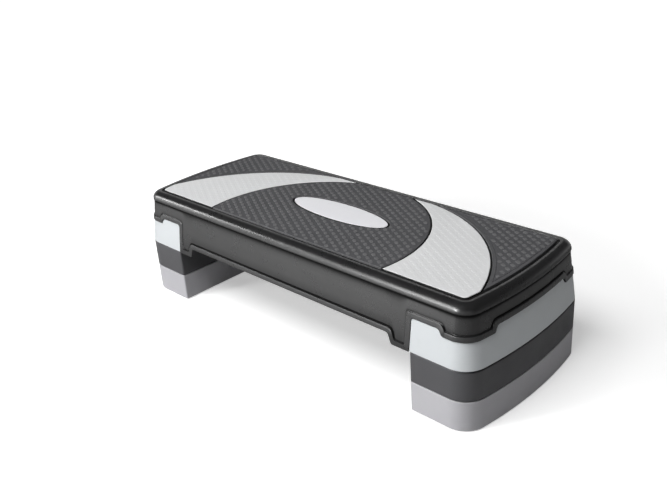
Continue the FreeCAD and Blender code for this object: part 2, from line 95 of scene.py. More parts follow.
def makePiece(name, shape, body, node, material, layers=None, sharpAngle=32):
    # a mesh with smooth faces and sharp edges, with point layers for its material, in place of a CAD node
    points, faces = shape
    mesh = bpy.data.meshes.new(name)
    mesh.from_pydata((points * mm).tolist(), [], [face for array in faces for face in array.tolist()])
    mesh.polygons.foreach_set("use_smooth", np.ones(len(mesh.polygons), dtype=bool))
    mesh.set_sharp_from_angle(angle=math.radians(sharpAngle))
    for layerName, values in (layers or {}).items():
        layer = mesh.attributes.new(layerName, "FLOAT", "POINT")
        layer.data.foreach_set("value", np.asarray(values, dtype=np.float32))
    mesh.materials.append(material)
    piece = bpy.data.objects.new(name, mesh)
    bpy.context.scene.collection.objects.link(piece)
    even = piece.modifiers.new("evenNormals", "WEIGHTED_NORMAL")  # keeps broad faces flat by rounded edges
    even.keep_sharp = True
    even.weight = 80  # above 50, larger faces count for more
    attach(piece, body)
    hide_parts(node)
    return piece


def cadSkin(node):
    # the node's triangles with their shared corners merged
    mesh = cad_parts[node].data
    points = np.empty(len(mesh.vertices) * 3, dtype=np.float32)
    mesh.vertices.foreach_get("co", points)
    mesh.calc_loop_triangles()
    corners = np.empty(len(mesh.loop_triangles) * 3, dtype=np.int32)
    mesh.loop_triangles.foreach_get("vertices", corners)
    places = np.round(points.reshape(-1, 3) / mm, 3)
    merged, where = np.unique(places, axis=0, return_inverse=True)
    triangles = where.reshape(-1)[corners].reshape(-1, 3)
    whole = (triangles != np.roll(triangles, 1, axis=1)).all(axis=1)
    return merged.astype(float), [triangles[whole]]


# Materials: moulded plastic, rubber and steel, all from noise on Object coordinates

def nodeSet(material):
    # an empty node tree with a principled shader at its output
    material.use_nodes = True
    tree = material.node_tree
    tree.nodes.clear()
    output = tree.nodes.new("ShaderNodeOutputMaterial")
    shader = tree.nodes.new("ShaderNodeBsdfPrincipled")
    tree.links.new(shader.outputs["BSDF"], output.inputs["Surface"])
    return tree, shader


def noise(tree, place, scale, detail=4.0, stretch=None, roughness=0.6):
    # noise at a place, finer as the scale grows, squeezed along each axis by the stretch
    texture = tree.nodes.new("ShaderNodeTexNoise")
    texture.inputs["Scale"].default_value = scale
    texture.inputs["Detail"].default_value = detail
    texture.inputs["Roughness"].default_value = roughness
    if stretch is not None:
        mapping = tree.nodes.new("ShaderNodeMapping")
        mapping.inputs["Scale"].default_value = stretch
        tree.links.new(place, mapping.inputs["Vector"])
        place = mapping.outputs["Vector"]
    tree.links.new(place, texture.inputs["Vector"])
    return texture.outputs["Fac"]


def ranged(tree, source, low, high, fromLow=0.3, fromHigh=0.7):
    # a value carried over in a straight line from one range to another, and held at its ends
    spread = tree.nodes.new("ShaderNodeMapRange")
    for name, number in (("From Min", fromLow), ("From Max", fromHigh), ("To Min", low), ("To Max", high)):
        spread.inputs[name].default_value = number
    tree.links.new(source, spread.inputs["Value"])
    return spread.outputs["Result"]


def mixed(tree, factor, first, second):
    # colours, or outputs of other nodes, mixed by a factor
    mix = tree.nodes.new("ShaderNodeMix")
    mix.data_type = "RGBA"
    tree.links.new(factor, mix.inputs["Factor"])
    for socket, source in ((mix.inputs[6], first), (mix.inputs[7], second)):
        if isinstance(source, tuple):
            socket.default_value = (*source, 1)
        else:
            tree.links.new(source, socket)
    return mix.outputs[2]


def sums(tree, operation, *sources):
    # one arithmetic step on the outputs of other nodes
    step = tree.nodes.new("ShaderNodeMath")
    step.operation = operation
    for socket, source in zip(step.inputs, sources):
        tree.links.new(source, socket)
    return step.outputs["Value"]


def multiplied(tree, first, second):
    # the product of two values
    return sums(tree, "MULTIPLY", first, second)


def larger(tree, first, second):
    # the larger of two values
    return sums(tree, "MAXIMUM", first, second)


def along(tree, directions, way):
    # how far each place or direction lies along a way
    dot = tree.nodes.new("ShaderNodeVectorMath")
    dot.operation = "DOT_PRODUCT"
    dot.inputs[1].default_value = way
    tree.links.new(directions, dot.inputs[0])
    return dot.outputs["Value"]


def pointLayer(tree, name):
    # a value kept at each point of the mesh
    layer = tree.nodes.new("ShaderNodeAttribute")
    layer.attribute_name = name
    return layer.outputs["Fac"]


def finish(name, look):
    # mottled colour, scuffs broken up by fine noise, wear and painted shade from the mesh's layers (the wear
    # layer also paints a highlight on the shell's rim), painted shadow along a riser's seams, roughness that
    # varies, and a fine moulded grain
    material = bpy.data.materials.new(name)
    tree, shader = nodeSet(material)
    place = tree.nodes.new("ShaderNodeTexCoord").outputs["Object"]
    mottle = ranged(tree, noise(tree, place, look["mottleScale"]), 0, 1)
    colour = mixed(tree, mottle, look["colour"], look["second"])
    scratches = noise(tree, place, look["scuffScale"], detail=8, stretch=look.get("scuffStretch"))
    scuffed = ranged(tree, scratches, 0, look["scuff"], *look["scuffRange"])
    colour = mixed(tree, scuffed, colour, look["scuffColour"])
    # wear from the mesh's layer, broken up by patches; on the shell's rim corner the same layer paints a
    # highlight
    if "wear" in look:
        patches = noise(tree, place, look["wearScale"], detail=6)
        rubbed = ranged(tree, patches, *look["wear"], *look["wearRange"])
        colour = mixed(tree, multiplied(tree, pointLayer(tree, "wear"), rubbed), colour, look["wearColour"])
    # painted shade: darker where the mesh's layer marks the shade of recesses, grooves and overhangs
    if "deepColour" in look:
        colour = mixed(tree, pointLayer(tree, "deep"), colour, look["deepColour"])
    if "seams" in look:
        # painted shadow at the riser's two ends, along its seams with the pieces below and above, where the
        # gaps lie in shade
        below, above = (edge * mm for edge in look["seams"])
        full, faded = (reach * mm for reach in look["seamReach"])
        height = along(tree, place, (0, 0, 1))
        low = ranged(tree, height, look["seamDirt"], 0, below + full, below + faded)
        high = ranged(tree, height, 0, look["seamDirt"], above - faded, above - full)
        sideways = sums(tree, "ABSOLUTE", along(tree, place, (1, 0, 0)))
        ends = ranged(tree, sideways, 0, 1, *(end * mm for end in look["seamEnds"]))
        dirt = multiplied(tree, larger(tree, low, high), ends)
        colour = mixed(tree, dirt, colour, look["seamColour"])
    tree.links.new(colour, shader.inputs["Base Color"])
    rough = ranged(tree, noise(tree, place, look["roughScale"], detail=5), *look["roughness"])
    tree.links.new(rough, shader.inputs["Roughness"])
    shader.inputs["Specular IOR Level"].default_value = look["specular"]
    # reflections are dimmed too where the shade is painted
    if "deepColour" in look:
        shine = ranged(tree, pointLayer(tree, "deep"), look["specular"], look["deepShine"], 0, 1)
        tree.links.new(shine, shader.inputs["Specular IOR Level"])
    shader.inputs["Metallic"].default_value = look.get("metallic", 0)
    grain = noise(tree, place, look["grainScale"], detail=3, stretch=look.get("grainStretch"))
    bump = tree.nodes.new("ShaderNodeBump")
    bump.inputs["Strength"].default_value = look["grain"]
    bump.inputs["Distance"].default_value = look["grainDepth"] * mm
    tree.links.new(grain, bump.inputs["Height"])
    tree.links.new(bump.outputs["Normal"], shader.inputs["Normal"])
    return material


def looks(colour, second, scuffColour, **changes):
    # a moulded plastic's usual look, with what is different about one finish
    look = {
        "colour": colour, "second": second, "scuffColour": scuffColour,
        "mottleScale": 9, "scuffScale": 60, "scuff": 0.18, "scuffRange": (0.56, 0.78),
        "wearRange": (0.35, 0.65), "deepShine": 0.03, "roughScale": 30, "roughness": (0.4, 0.52),
        "specular": 0.5, "grainScale": 1500, "grain": 0.12, "grainDepth": 0.15,
    }
    look.update(changes)
    return look


# the near-black second colour is painted shade in the recess, the bead's groove and under the rim; the light
# worn colour also paints a highlight on the rim's inner corner
shellPlastic = finish("shellPlastic", looks(
    (0.013, 0.013, 0.0135), (0.018, 0.018, 0.0185), (0.05, 0.05, 0.05),
    wear=(0.3, 0.8), wearScale=220, wearColour=(0.15, 0.15, 0.15), deepColour=(0.009, 0.009, 0.009),
    roughness=(0.25, 0.33), specular=0.78, scuff=0.12))
deckRubber = finish("deckRubber", looks(
    (0.06, 0.06, 0.064), (0.071, 0.071, 0.075), (0.12, 0.12, 0.12),
    wear=(0.5, 1.0), wearScale=160, wearColour=(0.148, 0.148, 0.152),
    roughness=(0.6, 0.75), specular=0.3, grainScale=900, grain=0.3, grainDepth=0.25))
# the near-black second colour is painted shade on the crescents' sides, in the groove round them
crescentRubber = finish("crescentRubber", looks(
    (0.64, 0.645, 0.65), (0.68, 0.685, 0.69), (0.58, 0.58, 0.57),
    wear=(0.3, 0.7), wearScale=160, wearColour=(0.76, 0.765, 0.77), deepColour=(0.035, 0.035, 0.035),
    roughness=(0.6, 0.75), specular=0.12, grainScale=900, grain=0.3, grainDepth=0.25))
# the near-black second colour is painted shade on the oval's sides, in the groove round it
platePlastic = finish("platePlastic", looks(
    (0.76, 0.76, 0.79), (0.79, 0.79, 0.815), (0.68, 0.68, 0.69),
    roughness=(0.42, 0.54), specular=0.15, scuffStretch=(1, 4, 1), deepColour=(0.02, 0.02, 0.02)))
footPlastic = finish("footPlastic", looks(
    (0.63, 0.658, 0.677), (0.665, 0.693, 0.707), (0.54, 0.55, 0.55)))
# near-black painted shadow along the seams, at the riser's ends only
middlePlastic = finish("middlePlastic", looks(
    (0.079, 0.079, 0.084), (0.088, 0.088, 0.094), (0.13, 0.13, 0.13),
    seams=(50, 100), seamReach=(1.5, 3), seamEnds=(350, 372),
    seamDirt=0.95, seamColour=(0.008, 0.008, 0.008)))
lowerPlastic = finish("lowerPlastic", looks(
    (0.515, 0.51, 0.54), (0.555, 0.55, 0.575), (0.42, 0.42, 0.43)))
screwSteel = finish("screwSteel", looks(
    (0.55, 0.55, 0.54), (0.62, 0.62, 0.61), (0.35, 0.34, 0.33),
    metallic=1, roughness=(0.25, 0.4), grainStretch=(1, 1, 0.1), mottleScale=80))
padRubber = finish("padRubber", looks(
    (0.025, 0.025, 0.025), (0.035, 0.035, 0.035), (0.09, 0.09, 0.085), roughness=(0.65, 0.85), grain=0.3))
print("materials made")


# Plan of the platform

plan = {"endRadius": 735.0, "cornerRadius": 38.0}
endCentre = plan["endRadius"] - halfLength
cornerY = halfWidth - plan["cornerRadius"]
cornerX = math.sqrt((plan["endRadius"] - plan["cornerRadius"]) ** 2 - cornerY ** 2) - endCentre
swing = math.atan2(cornerY, cornerX + endCentre)
cornerRun = plan["cornerRadius"] * (math.pi / 2 - swing)
quarterRun = cornerX + cornerRun + plan["endRadius"] * swing


def planLine(run):
    # a quarter of the plan, from the front's middle to the right end's: straight side, corner arc, end arc;
    # gives the points and outward directions at distances along it
    turn = np.clip((run - cornerX) / plan["cornerRadius"], 0, math.pi / 2 - swing) - math.pi / 2
    sweepAngle = np.maximum(run - cornerX - cornerRun, 0) / plan["endRadius"]
    angle = turn + sweepAngle
    normal = np.stack([np.cos(angle), np.sin(angle), 0 * angle], axis=-1)
    onSide = np.stack([np.minimum(run, cornerX), 0 * run - cornerY, 0 * run], axis=-1)
    side = onSide + normal * plan["cornerRadius"]
    end = np.array([-endCentre, 0, 0]) + normal * plan["endRadius"]
    return np.where((run > cornerX + cornerRun)[..., None], end, side), normal


def wholeLoop(quarter):
    # a quarter (rows, columns, 3) mirrored into the other three, which share the columns where they meet
    back = quarter[:, ::-1] * np.array([1, -1, 1])
    right = np.concatenate([quarter, back[:, 1:]], axis=1)
    left = right[:, ::-1] * np.array([-1, 1, 1])
    return np.concatenate([right, left[:, 1:-1]], axis=1)


# Platform shell

shell = {
    "wall": 4.0, "lean": 11.5 / 83.5, "ceiling": 190.0, "recessFloor": 195.0,
    "mainEdge": 117.0, "notchTop": 153.0, "cornerTab": 143.4, "endNotchTop": 154.0,
    "tab": (239.5, 273.5), "slope": 6.0, "notchEnd": 322.0, "endNotchHalf": 86.0,
    "edgeSoftness": (5, 3, 2.5, 6, 5, 3, 3, 5), "innerSoftness": (8, 2, 2, 8, 7, 1.5, 1.5, 7),
    "upperRuns": (222, 236, 250, 266, 317, 332), "upperSoftness": 2, "tabLag": 4, "endLead": 8,
    "beadReach": 11.5, "beadLeast": 0.35, "lipProud": (0.2, -1.2), "lipRound": 0.7,
    "skirtTop": 179.7, "skirtShares": (0, 0.04, 0.09, 0.16, 0.3, 0.5, 0.75), "insideSteps": 5,
    "recessShade": 0.55, "hollowShades": (0.8, 1, 1, 1, 1, 1, 0.95, 0.75, 0.45, 0.15),
    "rib": 3.0, "ribLow": 160.0, "ribsAcross": 9, "ribsAlong": 3, "ribEmbed": 0.6, "ribRound": (0.7, 0.3),
    "bossRadius": 6.0, "bossHole": 2.8, "bossDepth": 17.0, "bossEdge": 0.4, "holeEdge": 0.3,
    "bossSides": 28, "overlap": 0.5, "screwRuns": (301.84, 357.52), "screwWide": 87.0, "sharpAngle": 40,
}
shellBase = float(shellLow[2])
rimTop = float(shellHigh[2])

# points along each straight side of the skirt's lower edge, and round each corner between two sides
edgeCounts = (26, 5, 8, 10, 12, 4, 34, 4, 20)
cornerPoints = 7


def runAtEnd(y, z):
    # where on the quarter's line the end arc is at a distance y from the middle, at a height on the skirt
    radius = plan["endRadius"] - shell["lean"] * (z - shellBase)
    return quarterRun - plan["endRadius"] * math.asin(y / radius)


def roundedPath(corners, softness):
    # straight sides with evenly spaced points, and at each corner a parabola that starts a softness away
    corners = np.asarray(corners, dtype=float)
    side = np.diff(corners, axis=0)
    way = side / np.linalg.norm(side, axis=1, keepdims=True)
    soft = np.array([0, *softness, 0.0])[:, None]
    starts = corners[:-1] + way * soft[:-1]
    ends = corners[1:] - way * soft[1:]
    share = np.linspace(0, 1, cornerPoints + 2)[1:-1, None]
    parts = []
    for k, count in enumerate(edgeCounts):
        shares = np.linspace(0, 1, count)[:, None]
        parts.append(starts[k] + (ends[k] - starts[k]) * shares)
        if k + 1 < len(edgeCounts):
            middle = 2 * share * (1 - share) * corners[k + 1]
            parts.append((1 - share) ** 2 * ends[k] + middle + share ** 2 * starts[k + 1])
    return np.concatenate(parts)


def mitred(corners, reach):
    # the corners moved to the left of the path by a distance, each along the bisector of its two sides
    corners = np.asarray(corners, dtype=float)
    side = np.diff(corners, axis=0)
    way = side / np.linalg.norm(side, axis=1, keepdims=True)
    left = np.stack([-way[:, 1], way[:, 0]], axis=-1)
    before = np.concatenate([left[:1], left])
    after = np.concatenate([left, left[-1:]])
    bisector = (before + after) / (1 + (before * after).sum(axis=1, keepdims=True))
    return corners + bisector * reach


tabStart, tabEnd = shell["tab"]
tabRun = runAtEnd(shell["endNotchHalf"] + shell["slope"], shell["cornerTab"])
endRun = runAtEnd(shell["endNotchHalf"], shell["endNotchTop"])
edgeCorners = [
    (0, shell["mainEdge"]), (tabStart - shell["slope"], shell["mainEdge"]), (tabStart, shellBase),
    (tabEnd, shellBase), (tabEnd, shell["notchTop"]), (shell["notchEnd"], shell["notchTop"]),
    (shell["notchEnd"] + shell["slope"], shell["cornerTab"]), (tabRun, shell["cornerTab"]),
    (endRun, shell["endNotchTop"]), (quarterRun, shell["endNotchTop"]),
]
edge = roundedPath(edgeCorners, shell["edgeSoftness"])
inner = roundedPath(mitred(edgeCorners, shell["beadReach"]), shell["innerSoftness"])
upperRuns = (0, *shell["upperRuns"], tabRun - shell["tabLag"], endRun + shell["endLead"], quarterRun)
upperCorners = [(run, shell["skirtTop"]) for run in upperRuns]
upper = roundedPath(upperCorners, [shell["upperSoftness"]] * (len(upperCorners) - 2))

# bead along the edge: distance from the edge, how proud it stands, how worn, and how much painted shade
# darkens its groove
bead = np.array([
    (11.5, 0, 0, 0.25), (10.6, -0.35, 0, 1), (9.9, -0.7, 0, 1), (9.2, -0.7, 0, 1), (8.75, -0.3, 0, 1),
    (8.5, 1.2, 0, 0.7), (8.3, 1.9, 0.2, 0.1), (7.8, 2.25, 0.2, 0), (6.4, 2.35, 0.1, 0), (3.0, 2.35, 0.1, 0),
    (1.5, 2.35, 0.1, 0), (0.8, 2.2, 0.2, 0), (0.3, 1.8, 0.2, 0), (0, 1.1, 0.1, 0),
])
# how strong the bead and the painted shade in its groove are along each of the edge's sides: faint over the
# foot's notch
sideStrengths = np.array((1, 1, 0.9, 0.15, 0.3, 1, 0.6, 1, 1))
sideStarts = np.cumsum([0] + [count + cornerPoints for count in edgeCounts[:-1]])
sideEnds = sideStarts + np.array(edgeCounts) - 1
sideSpans = np.stack([sideStarts, sideEnds], axis=-1).ravel()
strength = np.interp(np.arange(len(edge)), sideSpans, np.repeat(sideStrengths, 2))

# rim from the recess outwards and down to the skirt: each row's inset from the plan and its height,
# over the recess's floor for the inner rows and under the crown's foot for the rows of the hollow
crown = {
    "foot": 184.0, "inset": 9.9, "reach": 14.2, "steps": 14,
    "inner": ((31, 0), (28.4, 0), (27.7, 0.1), (27.3, 0.6),
              (27.15, 1.3), (26.9, 1.75), (26.4, 2), (25.2, 2)),
    "hollow": ((10.0, -0.6), (10.3, -1.1), (10.75, -1.45), (11.05, -1.9), (11.1, -2.6), (10.95, -3.5)),
    "recessRows": slice(0, 4), "wornRows": slice(5, 9),
}
crownTurn = np.linspace(math.pi / 2, 0, crown["steps"])
crownRows = np.stack([
    crown["inset"] + crown["reach"] * (1 - np.cos(crownTurn)),
    crown["foot"] + (rimTop - crown["foot"]) * np.sin(crownTurn)], axis=-1)
innerRows = np.array(crown["inner"]) + (0, shell["recessFloor"])
hollowRows = np.array(crown["hollow"]) + (0, crown["foot"])
rimRows = np.concatenate([innerRows, crownRows, hollowRows])


def skirtPoint(places, proud):
    # places (run, height) on the leaning skirt, standing proud of it; kept within the platform's own width
    run, z = places[..., 0], places[..., 1]
    point, normal = planLine(run)
    inset = shell["lean"] * (z - shellBase)
    inset = np.maximum(inset - proud, np.where(np.asarray(proud) > 0, 0, -np.inf))
    point = point - normal * inset[..., None]
    point[..., 2] = z
    return point


def between(first, second, shares):
    # rows at given shares of the way from one row of places to another
    return first + (second - first) * np.asarray(shares)[:, None, None]


def shellSkin():
    # rows from the recess's floor out over the rim, down the skirt to its edge, and up inside to the ceiling
    point, normal = planLine(upper[:, 0])
    rim = point[None] - normal[None] * rimRows[:, 0, None, None]
    rim[..., 2] = rimRows[:, 1, None]
    flat = skirtPoint(between(upper, inner, shell["skirtShares"]), 0)
    band = between(edge, inner, bead[:, 0] / shell["beadReach"])
    least = shell["beadLeast"]
    outer = skirtPoint(band, bead[:, 1, None] * (least + (1 - least) * strength))
    wall, bend = shell["wall"], shell["lipRound"]
    lip = [(0, proud) for proud in shell["lipProud"]]
    lip = np.array(lip + [(0, bend - wall), (bend, -wall), (shell["beadReach"], -wall)])
    inside = skirtPoint(between(edge, inner, lip[:, 0] / shell["beadReach"]), lip[:, 1, None])
    high = skirtPoint(between(inner, upper, np.linspace(0, 1, shell["insideSteps"])[1:]), -wall)
    ceilingPlace = np.stack([upper[:, 0], 0 * upper[:, 0] + shell["ceiling"]], axis=-1)
    last = skirtPoint(ceilingPlace[None], -wall)
    rows = np.concatenate([rim, flat, outer, inside, high, last])
    worn = np.zeros(len(rows))
    worn[crown["wornRows"]] = 1.0  # painted highlight: the rim's inner corner lightened as though its rounded edge caught the light
    first = len(rim) + len(flat)
    worn[first:first + len(bead)] = bead[:, 2]
    sunk = np.zeros(rows.shape[:2])
    sunk[crown["recessRows"]] = shell["recessShade"]  # painted shade on the recess floor under the inlays and in the grooves round them
    shades = np.array(shell["hollowShades"])[:, None]
    hollowStart = len(rim) - len(hollowRows)
    sunk[hollowStart:hollowStart + len(shades)] = shades  # painted shadow under the rim's overhang, fading out down the skirt
    # painted shade in the bead's groove
    sunk[first:first + len(bead)] = bead[:, 3, None] * strength
    loop = wholeLoop(rows)
    sunk = wholeLoop(np.repeat(sunk[..., None], 3, axis=2))[..., 2]  # mirrored as heights are
    points, faces = tube(loop, "fan", "fan")
    layers = {"wear": np.concatenate([np.repeat(worn, loop.shape[1]), [0, 0]]),  # the fans' middles are last
              "deep": np.concatenate([sunk.ravel(), [1, 0]])}
    return points, faces, layers


def ribSkin(lengthways, place):
    # a rib's section (width, height) with a rounded lower edge, run between the leaning walls
    half = shell["rib"] / 2
    low, high = shell["ribLow"], shell["ceiling"] + shell["overlap"]
    wide, tall = np.array(shell["ribRound"]) * half
    section = np.array([(half, high), (half, low + half), (wide, low + tall), (0, low),
                        (-wide, low + tall), (-half, low + half), (-half, high)])
    inset = shell["lean"] * (section[:, 1] - shellBase) + shell["wall"] - shell["ribEmbed"]
    if lengthways:
        reach = np.sqrt((plan["endRadius"] - inset) ** 2 - place ** 2) - endCentre
        ends = [np.stack([sign * reach, place + section[:, 0], section[:, 1]], axis=-1) for sign in (1, -1)]
    else:
        reach = halfWidth - inset
        ends = [np.stack([place + section[:, 0], sign * reach, section[:, 1]], axis=-1) for sign in (-1, 1)]
    return tube(np.stack(ends))


def ringRows(centre, rows, count):
    # circles of given radius and height about a centre
    angle = np.linspace(0, 2 * math.pi, count, endpoint=False)
    rows = np.asarray(rows, dtype=float)
    x = centre[0] + rows[:, 0, None] * np.cos(angle)
    y = centre[1] + rows[:, 0, None] * np.sin(angle)
    return np.stack([x, y, np.broadcast_to(rows[:, 1, None], x.shape)], axis=-1)


def bossSkin(x, y):
    # circles down the outside of a boss, across its foot and up its screw hole
    low, high = shell["ribLow"], shell["ceiling"] + shell["overlap"]
    outer, outerEdge = shell["bossRadius"], shell["bossEdge"]
    hole, holeEdge = shell["bossHole"], shell["holeEdge"]
    rows = [(outer, high), (outer, low + outerEdge), (outer - outerEdge, low)]
    rows += [(hole + holeEdge, low), (hole, low + holeEdge), (hole, low + shell["bossDepth"])]
    return tube(ringRows((x, y), rows, shell["bossSides"]))


points, faces, layers = shellSkin()
parts = [(points, faces)]
ribSets = ((False, shell["ribsAcross"], halfLength), (True, shell["ribsAlong"], halfWidth))
for lengthways, count, half in ribSets:
    parts += [ribSkin(lengthways, place) for place in np.linspace(-half, half, count + 2)[1:-1]]
for sx, sy in ((1, 1), (1, -1), (-1, 1), (-1, -1)):
    parts += [bossSkin(sx * x, sy * shell["screwWide"]) for x in shell["screwRuns"]]
shape = joined(parts)
layers = {name: np.pad(values, (0, len(shape[0]) - len(points))) for name, values in layers.items()}
makePiece("platformShell", shape, "platform", "platform_shell", shellPlastic, layers,
          shell["sharpAngle"])
print("platform shell made:", len(shape[0]), "points")


# Deck inlays

deck = {
    "inset": 32.0, "corner": 8.0, "groove": 2.2, "floor": 195.02, "top": 198.3, "plateTop": 198.2,
    "edge": 0.9, "edgeSteps": 5, "edgeDrop": 0.05,
    # the lowest edge rows, a plate's side down to the floor, take painted shade as though in the groove's
    # shadow
    "edgeWorn": (0.2, 0.5, 0.8, 0.6, 0.5, 0.5, 0.5), "edgeSunk": (0, 0, 0, 0, 0, 1, 1),
    "archShares": (0.506, 0.4775, 0.1545), "sweepShares": (0.9215, 0.788, 0.2755),
    "crescentPoints": (160, 40, 12), "endMatPoints": (140, 40), "centrePoints": (120, 80, 40),
    "ovalPoints": 160, "meetingTries": 4001,
    "rowAngle": -30.0, "rowSpacing": 11.5, "pitch": 13.28, "start": (-0.8, 1.1), "barLength": 11.2,
    "barWidth": 6.0, "barHeight": 0.7, "barRings": ((0.4, 1.0, 1.0), (0.46, 0.75, 0.8), (0.5, -0.15, 0.2)),
    "barArc": 5, "barSpots": 9, "leastSpots": 3, "faintHeight": 0.18, "faintWear": 0.2, "border": 4.2,
    "line": 5.4, "lineWidth": 1.1, "lineSlope": 0.2, "lineDepth": 0.5, "lineWorn": (0.2, 0, 0, 0.3),
    "slack": 0.2, "crescentSlack": 0.7, "ovalSlack": 1.1, "holeSlack": 0.9,
}
fieldWidth = halfWidth - deck["inset"]


def arcThrough(shares):
    # circle through a point on the field's front edge, its middle and its back edge
    front, middle, back = np.array(shares) * halfLength
    x = ((front ** 2 + back ** 2) / 2 + fieldWidth ** 2 - middle ** 2) / (front + back - 2 * middle)
    y = (back - front) * (back + front - 2 * x) / (4 * fieldWidth)
    return x, y, math.hypot(middle - x, y)


arch = arcThrough(deck["archShares"])
sweep = arcThrough(deck["sweepShares"])


def arcX(circle, y, grow=0.0):
    # right-hand side of a circle at each y
    return circle[0] + np.sqrt(np.maximum((circle[2] + grow) ** 2 - (y - circle[1]) ** 2, 0))


def fieldEndX(y, inset=0.0):
    # the field's right end, drawn inwards: the end arc, with a corner arc of its own at front and back
    radius = plan["endRadius"] - deck["inset"]
    middleY = fieldWidth - deck["corner"]
    middleX = math.sqrt((radius - deck["corner"]) ** 2 - middleY ** 2) - endCentre
    corner = deck["corner"] - inset
    over = np.clip(np.abs(y) - middleY, 0, corner)
    rounded = middleX + np.sqrt(corner ** 2 - over ** 2)
    arc = np.sqrt((radius - inset) ** 2 - np.minimum(np.abs(y), halfWidth) ** 2) - endCentre
    return np.where(np.abs(y) > middleY * (radius - inset) / (radius - deck["corner"]), rounded, arc)


def eased(low, high, count):
    # spacing that closes up towards both ends, where the corners are
    return low + (high - low) * (1 - np.cos(np.linspace(0, math.pi, count))) / 2


def outlineOf(sides):
    # closed outline from its sides, each given with both of its ends
    return np.concatenate([np.stack(side, axis=-1)[:-1] for side in sides])


def straightSide(x0, x1, y, count):
    # evenly spaced points along x at one y
    return np.linspace(x0, x1, count), np.full(count, float(y))


def crescentOutline(inset):
    # between the arch and the sweep, or the field's end where that comes first
    wide = fieldWidth - inset
    steps, frontSteps, backSteps = deck["crescentPoints"]
    y = eased(-wide, wide, steps)
    right = np.minimum(arcX(sweep, y, -inset), fieldEndX(y, inset))
    left = arcX(arch, y, deck["groove"] + inset)
    return outlineOf([
        straightSide(left[0], right[0], -wide, frontSteps), (right, y),
        straightSide(right[-1], left[-1], wide, backSteps), (left[::-1], y[::-1])])


def endMatOutline(inset):
    # between the sweep and the field's end, from the point where they meet
    wide = fieldWidth - inset
    grow = deck["groove"] + inset
    steps, backSteps = deck["endMatPoints"]
    tries = np.linspace(-wide, 0, deck["meetingTries"])
    start = tries[np.argmax(arcX(sweep, tries, grow) < fieldEndX(tries, inset))]
    y = eased(start, wide, steps)
    left = arcX(sweep, y, grow)
    right = fieldEndX(y, inset)
    return outlineOf([(right, y), straightSide(right[-1], left[-1], wide, backSteps), (left[::-1], y[::-1])])


def centreOutline(inset):
    # between the arch and its mirror image
    wide = fieldWidth - inset
    steps, frontSteps, backSteps = deck["centrePoints"]
    y = eased(-wide, wide, steps)
    x = arcX(arch, y, -inset)
    return outlineOf([
        straightSide(-x[0], x[0], -wide, frontSteps), (x, y),
        straightSide(x[-1], -x[-1], wide, backSteps), (-x[::-1], y[::-1])])


def edgeRows(top):
    # a plate's edge from its top down, a quarter circle and a straight side: inset and height
    turn = np.linspace(0, math.pi / 2, deck["edgeSteps"])
    radius = deck["edge"]
    rows = np.stack([radius * (1 - np.sin(turn)), top - radius * (1 - np.cos(turn))], axis=-1)
    return np.concatenate([rows, [(0, top - radius - deck["edgeDrop"]), (0, deck["floor"])]])


def insetRings(outline, rows):
    # the outline drawn inwards by each row's inset, at the row's height
    rings = [np.insert(outline(inset), 2, height, axis=1) for inset, height in rows]
    return np.stack(rings)


def ovalOutline(inset):
    # an ellipse as long and wide as the plate, drawn inwards
    angle = np.linspace(0, 2 * math.pi, deck["ovalPoints"], endpoint=False)
    long, wide = plateHigh[:2] - inset
    return np.stack([long * np.cos(angle), wide * np.sin(angle)], axis=-1)


def ovalHole(inset):
    # the oval grown by the groove, with a point opposite each point of the centre mat's outline
    outline = centreOutline(0)
    grow = deck["groove"] + inset
    angle = np.arctan2(outline[:, 1] / plateHigh[1], outline[:, 0] / plateHigh[0])
    long, wide = plateHigh[:2] + grow
    return np.stack([long * np.cos(angle), wide * np.sin(angle)], axis=-1)


